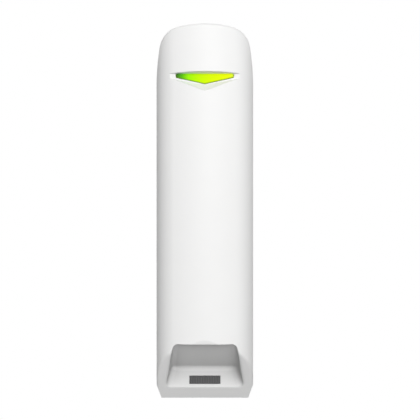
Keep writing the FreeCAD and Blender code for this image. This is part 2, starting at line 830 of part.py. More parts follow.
def chevron_recess():
    """The recess round the indicator: a flat floor, a steep upper bevel and two lower ones."""
    body = new_body("chevron_recess")
    mouth = sketch(body, "chevron_mouth", "XZ_Plane", "body_depth")
    chevron(mouth, "chevron_half_width", "chevron_drop", "chevron_tip_drop", "chevron_apex_drop")
    floor = sketch(body, "chevron_floor", "XZ_Plane", CHEVRON_FLOOR)
    chevron(floor, "chevron_half_width", "chevron_floor_drop", "chevron_floor_tip_drop",
            "chevron_floor_apex_drop")
    bevels = body.newObject("PartDesign::AdditiveLoft", "chevron_bevels")
    bevels.Profile = mouth
    bevels.Sections = [floor]
    bevels.Ruled = True
    doc.recompute()
    extrude("Pad", body, mouth, MARGIN)
    return body


def lens_outline(item, grow):
    """The indicator's chevron with its two ends trimmed, grown by a clearance or a flange."""
    half = f"(lens_half_width + {grow})"
    top = below_top(f"lens_drop - {grow}")
    polygon(item, [
        (f"-({half} - lens_corner)", top), (f"-{half}", f"{top} - lens_corner"),
        (f"-({half} - lens_corner / 2)", below_top(f"lens_tip_drop + {grow}")),
        ("0", below_top(f"lens_apex_drop + {grow}")),
        (f"{half} - lens_corner / 2", below_top(f"lens_tip_drop + {grow}")), (half, f"{top} - lens_corner"),
        (f"{half} - lens_corner", top),
    ])


def lens_prism(name, grow, rear, front):
    body = new_body(name)
    outline = sketch(body, name + "_outline", "XZ_Plane", rear)
    lens_outline(outline, grow)
    extrude("Pad", body, outline, f"{front} - {rear}")
    return body


def housing_form():
    """The outer form with its top edge rounded."""
    body = envelope("outer_form", "0", "parting_depth")
    corner = value(f"{FRONT_Y} + plan_corner_radius")
    flank = value(f"{TOP_Z} - top_flank_drop")
    round_edges(body, "top_edge", lambda point: point.y < corner and point.z > flank, "top_edge_radius")
    return body


def build_front_housing():
    form = housing_form()
    shell = cut("housing_shell", form, [envelope("inner_form", "wall", "parting_depth")])
    pad = block("chevron_pad", around("0", "2 * (chevron_half_width)"), depth(PAD_REAR, "body_depth"),
                (below_top("chevron_apex_drop + chevron_pad_margin"),
                 below_top("chevron_drop - chevron_pad_margin")))
    inside = [pad, scoop_body("scoop_shell", "scoop_wall")]
    tools = [scoop_body("scoop_space", "0"), chevron_recess()]
    tools.append(lens_prism("lens_hole", "lens_clearance", f"({PAD_REAR} - {MARGIN})",
                            f"({CHEVRON_FLOOR} + {MARGIN})"))
    for name, x, z in COVER_SCREWS:
        inside.append(rod(f"column_{name}", "y", "column_radius", (x, z), depth(COLUMN_REAR, "body_depth")))
        tools.append(rod(f"column_bore_{name}", "y", "cover_screw_radius + screw_clearance", (x, z),
                         depth(f"{COLUMN_REAR} - cut_past",
                               f"{SCREW_HEAD_DEPTH} + cover_screw_length + cut_past")))
    for name, side in SIDES:
        x = f"({side} * optics_screw_x)"
        inside.append(WINDOW.rod(f"optics_post_{name}", "optics_post_radius", x, "0",
                                 (GASKET_REAR, "(0 - scoop_wall / 2)")))
        tools.append(WINDOW.rod(f"optics_bore_{name}", "optics_screw_radius + screw_clearance", x, "0",
                                (f"{GASKET_REAR} - cut_past",
                                 f"{GASKET_REAR} + optics_screw_length + screw_end_gap")))
    tools.append(WINDOW.slab("window_slot", "0", "window_width + 2 * window_clearance",
                             around("0", "window_rise + 2 * window_clearance"),
                             (f"(0 - scoop_wall - {MARGIN})", MARGIN)))
    tools.append(block("latch_notches", around("0", f"body_width + 2 * {MARGIN}"),
                       depth("0", "parting_depth + latch_reach + skirt_clearance"),
                       (height("latch_height - skirt_clearance"),
                        height("latch_height + latch_size + skirt_clearance"))))
    tools.append(WINDOW.slab("optics_seat", "0", f"{GASKET_WIDTH} + 2 * optics_clearance",
                             around("0", f"{GASKET_RISE} + 2 * optics_clearance"),
                             (f"{FLANGE_REAR} - optics_clearance", "(0 - scoop_wall)")))
    inner = common("housing_inside", [form, fuse("housing_fittings", inside)])
    whole = fuse("housing_whole", [shell, inner])
    return cut("front_housing", whole, tools)


# Rear cover

def outline_pad(name, inset, rear, front):
    body = new_body(name)
    outline = sketch(body, name + "_outline", "XZ_Plane", rear)
    front_outline(outline, inset)
    extrude("Pad", body, outline, f"{front} - ({rear})")
    return body


def build_rear_cover():
    skirt_front = "(parting_depth + skirt_length)"
    solid = [
        outline_pad("cover_rim", "0", "rear_gap", "parting_depth"),
        outline_pad("cover_skirt", "(wall + skirt_clearance)", PLATE_FRONT, skirt_front),
        block("cover_latches", around("0", "body_width + 2 * latch_proud"),
              depth(PLATE_FRONT, "parting_depth + latch_reach"),
              (height("latch_height"), height("latch_height + latch_size"))),
    ]
    hollow = [
        outline_pad("bracket_recess", "rim_wall", f"(0 - {MARGIN})", "plate_depth"),
        block("bracket_way", around("0", "body_width - 2 * rim_wall"),
              depth(f"(0 - {MARGIN})", "plate_depth"),
              (height(f"(0 - {MARGIN})"), height("body_height / 2"))),
        outline_pad("cover_inside", "(wall + skirt_clearance + skirt_wall)", PLATE_FRONT,
                    f"({skirt_front} + {MARGIN})"),
    ]
    posts = []
    bores = []
    for name, x, z in COVER_SCREWS:
        posts.append(rod(f"screw_seat_{name}", "y", "column_radius", (x, z),
                         depth("plate_depth", COLUMN_REAR)))
        bores.append(rod(f"screw_way_{name}", "y", "cover_screw_radius + screw_hole_clearance", (x, z),
                         depth(f"(0 - {MARGIN})", f"{COLUMN_REAR} + cut_past")))
        bores.append(rod(f"screw_recess_{name}", "y", "screw_head_radius + screw_hole_clearance", (x, z),
                         depth(f"(0 - {MARGIN})", SCREW_HEAD_DEPTH)))
    for name, x, z in BOARD_SCREWS:
        posts.append(rod(f"board_post_{name}", "y", "column_radius", (x, z),
                         depth("plate_depth", "board_rear")))
        bores.append(rod(f"board_bore_{name}", "y", "board_screw_radius + screw_clearance", (x, z),
                         depth(f"{BOARD_FRONT} - board_screw_length - screw_end_gap",
                               "board_rear + cut_past")))
    through = depth("plate_depth - cut_past", f"{PLATE_FRONT} + cut_past")
    for name, x, z in HOOKS:
        bores.append(block(f"hook_slot_{name}", around(x, "hook_width + 2 * hook_side_clearance"), through,
                           (f"{z} - hook_stem - slide_travel - slide_clearance", f"{z} + slide_clearance")))
    bores.append(rod("tamper_way", "y", "tamper_rod_radius + tamper_hole_clearance",
                     ("0", height("tamper_height")), through))
    bores.append(rod("power_way", "y", "power_cap_radius + tamper_hole_clearance",
                     ("0", height("power_height")), through))
    hollowed = cut("cover_hollowed", fuse("cover_solid", solid), hollow)
    return cut("rear_cover", fuse("cover_with_posts", [hollowed] + posts), bores)


# Wall bracket

def build_bracket():
    inset = "(rim_wall + bracket_clearance)"
    plate = outline_pad("bracket_plate", inset, "0", "bracket_thickness")
    toe_rear = f"({PLATE_FRONT} + hook_clearance)"
    toe_front = f"({toe_rear} + hook_toe_thickness)"
    solid = [plate]
    for name, x, z in HOOKS:
        solid.append(block(f"hook_stem_{name}", around(x, "hook_width"),
                           depth("bracket_thickness - hook_root", toe_front), (f"{z} - hook_stem", z)))
        solid.append(block(f"hook_toe_{name}", around(x, "hook_width"), depth(toe_rear, toe_front),
                           (f"{z} - hook_stem", f"{z} + hook_toe")))
    tools = []
    for name, z in (("low", "(-wall_screw_spacing / 2)"), ("high", "(wall_screw_spacing / 2)"),
                    ("tab", height("tab_hole_height"))):
        tools.append(rod(f"wall_screw_hole_{name}", "y", "wall_screw_hole / 2", ("0", z),
                         depth("(0 - cut_past)", "bracket_thickness + cut_past")))
        sink = doc.addObject("Part::Cone", f"wall_screw_sink_{name}")
        sink.Placement = Placement(Vector(), Rotation(Vector(1, 0, 0), 90))
        bind(sink, "Radius1", "wall_screw_hole / 2")
        flare = "(wall_screw_sink - wall_screw_hole) / 2 / wall_screw_sink_depth"
        bind(sink, "Radius2", f"wall_screw_sink / 2 + cut_past * {flare}")
        bind(sink, "Height", "wall_screw_sink_depth + cut_past")
        bind(sink, "Placement.Base.y", "-(bracket_thickness - wall_screw_sink_depth)")
        bind(sink, "Placement.Base.z", z)
        tools.append(sink)
    for name, side in SIDES:
        tools.append(block(f"tab_slit_{name}", around(f"{side} * tab_half_width", "tab_slit"),
                           depth("(0 - cut_past)", "bracket_thickness + cut_past"),
                           (height("tab_foot + tab_bridge"), height("tab_head - tab_bridge"))))
    for name, z in (("foot", height("tab_foot")), ("head", height("tab_head"))):
        tools.append(block(f"tab_slit_{name}", around("0", "2 * (tab_half_width - tab_bridge)"),
                           depth("(0 - cut_past)", "bracket_thickness + cut_past"), around(z, "tab_slit")))
    return cut("mounting_bracket", fuse("bracket_solid", solid), tools)


# Indicator

def build_indicator_lens():
    return fuse("indicator_lens", [
        lens_prism("lens_face", "0", PAD_REAR, LENS_FRONT),
        lens_prism("lens_rear", "lens_flange", GUIDE_FRONT, PAD_REAR),
    ])


def build_light_guide():
    body = new_body("guide_prism")
    wide = sketch(body, "guide_front", "XZ_Plane", GUIDE_FRONT)
    rectangle(wide, ("-guide_half_width", "guide_half_width"), (GUIDE_FOOT, below_top("guide_drop")))
    narrow = sketch(body, "guide_rear", "XZ_Plane", f"{LED_DEPTH} + led_gap")
    rectangle(narrow, ("-guide_rear_half_width", "guide_rear_half_width"),
              (GUIDE_FOOT, GUIDE_REAR_HEAD))
    wedge = body.newObject("PartDesign::AdditiveLoft", "guide_wedge")
    wedge.Profile = wide
    wedge.Sections = [narrow]
    wedge.Ruled = True
    legs = []
    for name, side in SIDES:
        middle = f"{side} * (guide_rear_half_width + guide_leg_width / 2 - guide_leg_lap)"
        legs.append(block(f"guide_leg_{name}", around(middle, "guide_leg_width"),
                          depth(BOARD_FRONT, f"{BOARD_FRONT} + guide_leg_depth"),
                          (GUIDE_FOOT, GUIDE_REAR_HEAD)))
    return fuse("light_guide", [body] + legs)


def build_leds():
    leds = []
    for index, place in enumerate(("left", "middle", "right")):
        leds.append(block(f"led_{place}", around(f"{index - 1} * led_spacing", "led_width"),
                          depth(BOARD_FRONT, LED_DEPTH), around(LED_Z, "led_tall")))
    return group("indicator_leds", leds)


# Main board and what it carries

def build_main_board():
    body = new_body("main_board")
    outline = sketch(body, "main_board_outline", "XZ_Plane", "board_rear")
    low = height("board_foot")
    high = below_top("board_drop")
    corner = "board_corner"
    side = "board_half_width"
    polygon(outline, [
        (f"-{side}", f"{low} + {corner}"), (f"-{side} + {corner}", low), (f"{side} - {corner}", low),
        (side, f"{low} + {corner}"), (side, f"{high} - {corner}"), (f"{side} - {corner}", high),
        (f"-{side} + {corner}", high), (f"-{side}", f"{high} - {corner}"),
    ])
    for _, x, z in BOARD_SCREWS:
        circle(outline, x, z, "board_screw_radius + screw_hole_clearance")
    extrude("Pad", body, outline, "board_thickness")
    return body


def on_board(name, xs, zs, rise):
    """A component soldered to the front of the main board."""
    return block(name, xs, depth(BOARD_FRONT, f"{BOARD_FRONT} + {rise}"), zs)


def build_shield():
    xs = ("-shield_left", "shield_right")
    can = on_board("shield_can", xs, SHIELD_ZS, "shield_rise")
    hollow = block("shield_hollow", ("-shield_left + shield_sheet", "shield_right - shield_sheet"),
                   depth(f"{BOARD_FRONT} - cut_past", f"{BOARD_FRONT} + shield_rise - shield_sheet"),
                   (f"{SHIELD_ZS[0]} + shield_sheet", f"{SHIELD_ZS[1]} - shield_sheet"))
    return cut("radio_shield", can, [hollow])


def build_passives():
    """Small capacitors and resistors, in rows beside the controller and above the cradle."""
    rows = [("low", height("controller_foot"), 3), ("high", SHIELD_ZS[0], 4)]
    chips = []
    for name, foot, count in rows:
        left = f"passive_{name}_x"
        for index in range(count):
            middle = f"{foot} + passive_margin + {index} * passive_pitch"
            chips.append(on_board(f"chip_{name}_{index + 1}", (left, f"{left} + passive_length"),
                                  around(middle, "passive_width"), "passive_width"))
    return group("small_parts", chips)


def build_antennas():
    strips = []
    for name, side in SIDES:
        across = around(f"{side} * antenna_x", "antenna_width")
        tall = on_board(f"antenna_strip_{name}", across,
                        (below_top("antenna_foot_drop"), below_top("antenna_drop")), "antenna_sheet")
        fold = on_board(f"antenna_fold_{name}", across,
                        (below_top("antenna_drop + antenna_sheet"), below_top("antenna_drop")),
                        "antenna_fold")
        strips.append(fuse(f"antenna_{name}", [tall, fold]))
    return group("antennas", strips)


# Battery

def build_battery():
    """A lithium cell on end, with its positive button up."""
    body = new_body("battery_cell")
    profile = sketch(body, "battery_profile", "XZ_Plane", f"-{BATTERY_Y}")
    shoulder = f"({BATTERY_HEAD} - battery_nub)"
    polygon(profile, [
        ("0", BATTERY_FOOT), ("battery_radius - battery_edge", BATTERY_FOOT),
        ("battery_radius", f"{BATTERY_FOOT} + battery_edge"),
        ("battery_radius", f"{shoulder} - battery_edge"), ("battery_radius - battery_edge", shoulder),
        ("battery_nub_radius", shoulder), ("battery_nub_radius", BATTERY_HEAD), ("0", BATTERY_HEAD),
    ])
    turned = body.newObject("PartDesign::Revolution", "battery_turned")
    turned.Profile = profile
    turned.ReferenceAxis = (profile, ["V_Axis"])
    turned.Angle = 360
    return body


def build_cradle():
    tray = on_board("cradle_block", around("0", "2 * cradle_half_width"), (CRADLE_FOOT, CRADLE_HEAD),
                    "cradle_rise")
    trough = rod("cradle_trough", "z", "battery_radius + cradle_clearance", ("0", BATTERY_Y),
                 (CRADLE_LOW, CRADLE_HIGH))
    thumb = block("cradle_thumb_way", around("0", "4 * cradle_half_width"),
                  depth(f"{BOARD_FRONT} + cradle_rise / 2", f"{BOARD_FRONT} + cradle_rise + {MARGIN}"),
                  around(f"({CRADLE_LOW} + {CRADLE_HIGH}) / 2", "battery_length / 2"))
    slots = []
    for name, low, high in (
            ("foot", CRADLE_LOW, f"{CRADLE_LOW} + contact_sheet"),
            ("head", f"{CRADLE_HIGH} - contact_sheet", CRADLE_HIGH)):
        slots.append(block(
            f"contact_slot_{name}", around("0", "2 * (contact_leg + contact_side_gap)"),
            depth(f"{BOARD_FRONT} - cut_past",
                  f"{BOARD_FRONT} + cradle_floor + cradle_clearance + contact_slot_depth"),
            (f"{low} - contact_clearance", f"{high} + contact_clearance")))
    return cut("battery_cradle", tray, [trough, thumb] + slots)


def contact_sheet_part(name, low):
    """A contact's flat sheet on an end wall of the cradle, with its leg down to the board."""
    zs = (low, f"{low} + contact_sheet")
    sheet_part = block(f"{name}_sheet", around("0", "2 * contact_half_width"),
                       (f"{BATTERY_Y} - battery_radius / 2",
                        f"{BATTERY_Y} + battery_radius - contact_inset"), zs)
    leg = block(f"{name}_leg", around("0", "2 * contact_leg"),
                (f"{BATTERY_Y} + battery_radius - 2 * contact_inset", f"-{BOARD_FRONT}"), zs)
    return [sheet_part, leg]


# The share of a turn that each face of a coil covers.
COIL_FACE_TURNS = 0.25


def spring(name, radius, wire, length):
    """A coil spring, swept along a helix; its ends lie on the two planes that it presses on."""
    coil = doc.addObject("Part::Helix", name + "_line")
    bind(coil, "Radius", radius)
    bind(coil, "Height", f"{length} - 2 * {wire}")
    bind(coil, "Pitch", f"({length} - 2 * {wire}) / coil_turns")
    coil.SegmentLength = COIL_FACE_TURNS
    ring = doc.addObject("Part::Circle", name + "_section")
    bind(ring, "Radius", wire)
    ring.Placement = Placement(Vector(), Rotation(Vector(1, 0, 0), 90))
    bind(ring, "Placement.Base.x", radius)
    sweep = doc.addObject("Part::Sweep", name)
    sweep.Sections = [ring]
    doc.recompute()
    sweep.Spine = (coil, [f"Edge{number}" for number, _ in enumerate(coil.Shape.Edges, start=1)])
    sweep.Solid = True
    sweep.Frenet = True
    return sweep


def build_contacts():
    negative = contact_sheet_part("negative", CRADLE_LOW)
    positive = contact_sheet_part("positive", f"({CRADLE_HIGH} - contact_sheet)")
    positive.append(rod("positive_dimple", "z", "contact_dimple", ("0", BATTERY_Y),
                        (BATTERY_HEAD, f"{CRADLE_HIGH} - contact_sheet")))
    coil = spring("negative_coil", "spring_radius", "spring_wire",
                  "(spring_length - contact_sheet + coil_lap)")
    bind(coil, "Placement.Base.y", BATTERY_Y)
    bind(coil, "Placement.Base.z", f"{CRADLE_LOW} + contact_sheet + spring_wire - coil_lap")
    return fuse("negative_contact", negative + [coil]), fuse("positive_contact", positive)


# Keys between the rear cover and the main board

TAMPER_TIP = "(bracket_thickness + tamper_tip_gap)"
TAMPER_FLANGE = f"({PLATE_FRONT} + tamper_flange_gap)"
TAMPER_FACE = "(board_rear - tamper_switch_rise)"
POWER_FACE = "(board_rear - power_switch_rise)"


def key_switch(name, size, face, pin_radius, z):
    """A small switch on the rear of the board, with a well for the pin of its key."""
    body = block(f"{name}_case", around("0", size), depth(face, "board_rear"), around(z, size))
    well = rod(f"{name}_well", "y", f"{pin_radius} + well_clearance", ("0", z),
               depth(f"{face} - cut_past", f"{face} + tamper_pin_reach + key_travel + well_clearance"))
    return cut(name, body, [well])


def build_keys():
    tamper_z = height("tamper_height")
    power_z = height("power_height")
    tamper_switch = key_switch("tamper_switch", "tamper_switch_size", TAMPER_FACE,
                               "tamper_pin_radius", tamper_z)
    power_switch = key_switch("power_switch", "power_switch_size", POWER_FACE,
                              "power_pin_radius", power_z)
    plunger = fuse("tamper_plunger", [
        rod("plunger_rod", "y", "tamper_rod_radius", ("0", tamper_z), depth(TAMPER_TIP, TAMPER_FLANGE)),
        rod("plunger_flange", "y", "tamper_flange_radius", ("0", tamper_z),
            depth(TAMPER_FLANGE, f"{TAMPER_FLANGE} + tamper_flange")),
        rod("plunger_pin", "y", "tamper_pin_radius", ("0", tamper_z),
            depth(f"{TAMPER_FLANGE} + tamper_flange", f"{TAMPER_FACE} + tamper_pin_reach")),
    ])
    button = fuse("power_button", [
        rod("button_cap", "y", "power_cap_radius", ("0", power_z),
            depth("plate_depth + power_sink", f"{PLATE_FRONT} + slide_clearance")),
        rod("button_flange", "y", "power_flange_radius", ("0", power_z),
            depth(f"{PLATE_FRONT} + slide_clearance", f"{PLATE_FRONT} + slide_clearance + power_flange")),
        rod("button_pin", "y", "power_pin_radius", ("0", power_z),
            depth(f"{PLATE_FRONT} + slide_clearance + power_flange", f"{POWER_FACE} + tamper_pin_reach")),
    ])
    length = f"({TAMPER_FACE} - {TAMPER_FLANGE} - tamper_flange)"
    coil = spring("tamper_spring", "tamper_spring_radius", "tamper_spring_wire", length)
    coil.Placement = Placement(Vector(), Rotation(Vector(1, 0, 0), 90))
    bind(coil, "Placement.Base.y", f"-({TAMPER_FLANGE} + tamper_flange + tamper_spring_wire)")
    bind(coil, "Placement.Base.z", tamper_z)
    return tamper_switch, power_switch, plunger, button, coil


# Motion sensor and its optics

def build_window():
    rear = "(0 - scoop_wall - window_flange_thickness)"
    face = WINDOW.slab("window_face", "0", "window_width", around("0", "window_rise"),
                       ("(0 - scoop_wall)", "(0 - window_sink)"))
    flange = WINDOW.slab("window_rear", "0", "window_width + 2 * window_flange",
                         around("0", "window_rise + 2 * window_flange"), (rear, "(0 - scoop_wall)"))
    return fuse("sensor_window", [face, flange])


def build_gasket():
    frame = WINDOW.slab("gasket_frame", "0", GASKET_WIDTH, around("0", GASKET_RISE),
                        (GASKET_REAR, GASKET_FRONT))
    hole = WINDOW.slab("gasket_hole", "0", "window_width", around("0", "window_rise"),
                       (f"{GASKET_REAR} - cut_past", f"{GASKET_FRONT} + cut_past"))
    return cut("optics_gasket", frame, [hole])


def build_shroud():
    """The black duct that carries the sensor board and shuts stray light out."""
    wide = "(sensor_board_half_width)"
    tall = "(sensor_board_half_height - shroud_edge)"
    wide_inside = f"({wide} - shroud_wall)"
    tall_inside = f"({tall} - shroud_wall)"
    duct = loft("shroud_duct", [
        WINDOW.frame_sketch("shroud_front", f"({GASKET_WIDTH} / 2)", f"({GASKET_RISE} / 2)", GASKET_REAR),
        SENSOR.frame_sketch("shroud_middle", wide, tall, "shroud_box"),
    ])
    duct_inside = loft("shroud_duct_inside", [
        WINDOW.frame_sketch("shroud_inner_front", "(window_width / 2)", "(window_rise / 2)", GASKET_REAR),
        SENSOR.frame_sketch("shroud_inner_middle", wide_inside, tall_inside, "shroud_box"),
    ])
    box = SENSOR.slab("shroud_chamber", "0", f"2 * {wide}", around("0", f"2 * {tall}"), ("0", "shroud_box"))
    box_inside = SENSOR.slab("shroud_chamber_inside", "0", f"2 * {wide_inside}",
                             around("0", f"2 * {tall_inside}"), ("(0 - cut_past)", "shroud_box"))
    ears = WINDOW.slab("shroud_ears", "0", "2 * (optics_screw_x + optics_post_radius)",
                       around("0", "2 * optics_post_radius"), (FLANGE_REAR, GASKET_REAR))
    holes = [duct_inside, box_inside]
    for name, side in SIDES:
        holes.append(WINDOW.rod(f"ear_hole_{name}", "optics_screw_radius + screw_clearance",
                                f"({side} * optics_screw_x)", "0",
                                (f"{FLANGE_REAR} - cut_past", f"{GASKET_REAR} + cut_past")))
    return cut("optics_shroud", fuse("shroud_solid", [duct, box, ears]), holes)


def build_sensors():
    cans = []
    filters = []
    for name, side in SIDES:
        x = f"({side} * sensor_x)"
        cans.append(fuse(f"sensor_{name}", [
            SENSOR.rod(f"sensor_base_{name}", "sensor_base_radius", x, "0", ("0", "sensor_base")),
            SENSOR.rod(f"sensor_can_{name}", "sensor_radius", x, "0", ("sensor_base", "sensor_rise")),
        ]))
        filters.append(SENSOR.slab(f"filter_{name}", x, "filter_width", around("0", "filter_height"),
                                   ("sensor_rise", "sensor_rise + filter_thickness")))
    return group("motion_sensors", cans), group("sensor_filters", filters)


def build_sensor_board():
    return SENSOR.slab("sensor_board", "0", "2 * sensor_board_half_width",
                       around("0", "2 * sensor_board_half_height"), ("(0 - sensor_board_thickness)", "0"))


SENSOR_SOCKET_REAR = "(0 - sensor_board_thickness - sensor_socket_rise)"


def build_sensor_socket():
    case = SENSOR.slab("sensor_socket_case", "0", "2 * sensor_socket_half_width",
                       ("sensor_socket_low", "sensor_socket_high"),
                       (SENSOR_SOCKET_REAR, "(0 - sensor_board_thickness)"))
    return cut("sensor_socket", case, [SENSOR.slab(
        "sensor_socket_slot", "0", "2 * (ribbon_half_width + ribbon_side_gap)",
        ("sensor_socket_low + socket_floor", f"sensor_socket_high + {MARGIN}"),
        (f"{RIBBON_OUT} - ribbon_thickness", f"{RIBBON_OUT} + ribbon_thickness"))])


RIBBON_OUT = "(0 - sensor_board_thickness - sensor_socket_rise / 2)"
RIBBON_DEPTH = f"({BOARD_FRONT} + socket_rise / 2)"


def build_board_socket():
    case = on_board("board_socket_case", around("0", "2 * socket_half_width"),
                    (height("socket_foot"), height("socket_foot + socket_height")), "socket_rise")
    slot = block("board_socket_slot", around("0", "2 * (ribbon_half_width + ribbon_side_gap)"),
                 depth(f"{RIBBON_DEPTH} - ribbon_thickness", f"{RIBBON_DEPTH} + ribbon_thickness"),
                 (height("socket_foot - cut_past"), height("socket_foot + socket_height - socket_floor")))
    return cut("board_socket", case, [slot])


def build_ribbon():
    """The flat cable from the sensor board up to the main board."""
    points = [
        SENSOR.point("sensor_socket_low + socket_floor + ribbon_end_gap", RIBBON_OUT),
        SENSOR.point("sensor_socket_high + ribbon_rise", RIBBON_OUT),
        (f"-{RIBBON_DEPTH}", height("socket_foot - ribbon_drop")),
        (f"-{RIBBON_DEPTH}", height("socket_foot + socket_height - socket_floor - ribbon_end_gap")),
    ]
    front = [(f"{y} - ribbon_thickness / 2", z) for y, z in points]
    rear = [(f"{y} + ribbon_thickness / 2", z) for y, z in reversed(points)]
    return prism("sensor_ribbon", front + rear, "YZ_Plane", "0", "2 * ribbon_half_width", both_ways=True)


# Screws

def screw(name, x, z, head, shank_radius, shank, forward):
    """A pan-head screw along Y, with a recess in its head; forward screws point away from the wall."""
    head_low, head_high = head
    parts = [
        rod(f"{name}_head", "y", "screw_head_radius", (x, z), depth(head_low, head_high)),
        rod(f"{name}_shank", "y", shank_radius, (x, z), depth(*shank)),
    ]
    if forward:
        recess = depth(f"{head_low} - cut_past", f"{head_low} + drive_depth")
    else:
        recess = depth(f"{head_high} - drive_depth", f"{head_high} + cut_past")
    drive = rod(f"{name}_drive", "y", "drive_radius", (x, z), recess)
    return cut(name, fuse(f"{name}_solid", parts), [drive])


def build_screws():
    cover = []
    for name, x, z in COVER_SCREWS:
        cover.append(screw(f"cover_screw_{name}", x, z, ("plate_depth", SCREW_HEAD_DEPTH),
                           "cover_screw_radius",
                           (SCREW_HEAD_DEPTH, f"{SCREW_HEAD_DEPTH} + cover_screw_length"), True))
    board = []
    for name, x, z in BOARD_SCREWS:
        board.append(screw(f"board_screw_{name}", x, z, (BOARD_FRONT, f"{BOARD_FRONT} + screw_head_height"),
                           "board_screw_radius",
                           (f"{BOARD_FRONT} - board_screw_length", BOARD_FRONT), False))
    optics = []
    for name, side in SIDES:
        x = f"({side} * optics_screw_x)"
        optics.append(fuse(f"optics_screw_{name}", [
            WINDOW.rod(f"optics_head_{name}", "optics_head_radius", x, "0",
                       (f"{FLANGE_REAR} - optics_head", FLANGE_REAR)),
            WINDOW.rod(f"optics_shank_{name}", "optics_screw_radius", x, "0",
                       (FLANGE_REAR, f"{GASKET_REAR} + optics_screw_length")),
        ]))
    return group("cover_screws", cover), group("board_screws", board), group("optics_screws", optics)


def build_all():
    """Every piece of the detector, by the name of its node."""
    tamper_switch, power_switch, plunger, button, tamper_spring = build_keys()
    negative, positive = build_contacts()
    sensors, filters = build_sensors()
    cover_screws, board_screws, optics_screws = build_screws()
    parts = [
        build_front_housing(), build_rear_cover(), build_bracket(),
        build_indicator_lens(), build_light_guide(), build_leds(),
        build_window(), build_gasket(), build_shroud(), sensors, filters, build_sensor_board(),
        build_sensor_socket(), build_board_socket(), build_ribbon(),
        build_main_board(), build_shield(), build_passives(), build_antennas(),
        on_board("radio_chip", around("(shield_right - shield_left) / 2", "chip_size"),
                 around(f"({SHIELD_ZS[0]} + {SHIELD_ZS[1]}) / 2", "chip_size"), "chip_rise"),
        on_board("controller", around("0", "controller_size"),
                 (height("controller_foot"), CONTROLLER_HEAD), "chip_rise"),
        on_board("crystal",
                 around("controller_size / 2 + crystal_gap + crystal_width / 2", "crystal_width"),
                 around(height("controller_foot + controller_size / 2"), "crystal_length"), "crystal_rise"),
        build_battery(), build_cradle(), negative, positive,
        tamper_switch, power_switch, plunger, button, tamper_spring,
        cover_screws, board_screws, optics_screws,
    ]
    return parts


def write(parts):
    """Checks every object and each part's shape, then writes one file for each part."""
    doc.recompute()
    failed = [item.Name for item in doc.Objects if "Invalid" in item.State or "Error" in item.State]
    if failed:
        raise RuntimeError(f"objects that failed: {failed}")
    for part in parts:
        if part.Shape.isNull() or not part.Shape.isValid() or not part.Shape.Solids:
            raise RuntimeError(f"{part.Label} has no valid solid")
    os.makedirs("parts", exist_ok=True)
    for part in parts:
        part.Shape.exportStep(f"parts/{part.Label}.step")


write(build_all())
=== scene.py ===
"""The looks of the curtain motion detector: its finishes, fine details, light and camera.

Lengths are in metres, in the frame of the model: +Z up, +X to the right of someone who faces the
detector, +Y into the wall. The wall plane is Y = 0, and the front is near Y = -0.044.
"""

import json
import math

import bmesh
import bpy
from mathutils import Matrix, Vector


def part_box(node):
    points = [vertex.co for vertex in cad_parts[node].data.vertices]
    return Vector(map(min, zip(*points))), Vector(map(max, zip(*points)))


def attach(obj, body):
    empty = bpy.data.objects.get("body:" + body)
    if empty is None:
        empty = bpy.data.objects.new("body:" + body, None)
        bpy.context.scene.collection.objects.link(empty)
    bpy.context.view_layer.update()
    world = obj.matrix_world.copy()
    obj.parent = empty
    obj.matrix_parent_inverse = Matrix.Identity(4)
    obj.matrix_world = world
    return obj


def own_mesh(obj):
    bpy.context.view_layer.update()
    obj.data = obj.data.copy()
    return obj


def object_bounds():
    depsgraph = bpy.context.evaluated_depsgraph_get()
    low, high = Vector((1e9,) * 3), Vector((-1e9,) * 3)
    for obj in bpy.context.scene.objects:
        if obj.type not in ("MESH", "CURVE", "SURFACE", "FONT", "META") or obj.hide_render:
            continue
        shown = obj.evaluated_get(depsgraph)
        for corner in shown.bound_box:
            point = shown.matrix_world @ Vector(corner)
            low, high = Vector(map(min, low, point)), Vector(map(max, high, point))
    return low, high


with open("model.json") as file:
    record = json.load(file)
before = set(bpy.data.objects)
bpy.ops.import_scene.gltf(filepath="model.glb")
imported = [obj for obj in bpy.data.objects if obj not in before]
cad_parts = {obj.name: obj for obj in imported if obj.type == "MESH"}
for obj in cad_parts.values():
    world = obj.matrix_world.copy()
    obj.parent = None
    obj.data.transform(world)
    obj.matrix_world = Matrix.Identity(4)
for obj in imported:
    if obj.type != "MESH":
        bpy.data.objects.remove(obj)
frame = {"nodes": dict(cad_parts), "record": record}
cad_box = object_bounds()

MM = 0.001
BOTTOM = cad_box[0][2]
FRONT = cad_box[0][1]
BLACK = (0, 0, 0)
WHITE = (1, 1, 1)


def height(millimetres):
    """The Z of a height above the lowest edge of the housing."""
    return BOTTOM + millimetres * MM


def add_object(name, data):
    """A new object in the scene."""
    item = bpy.data.objects.new(name, data)
    bpy.context.scene.collection.objects.link(item)
    return item


# Materials

BEVEL_SAMPLES = 8


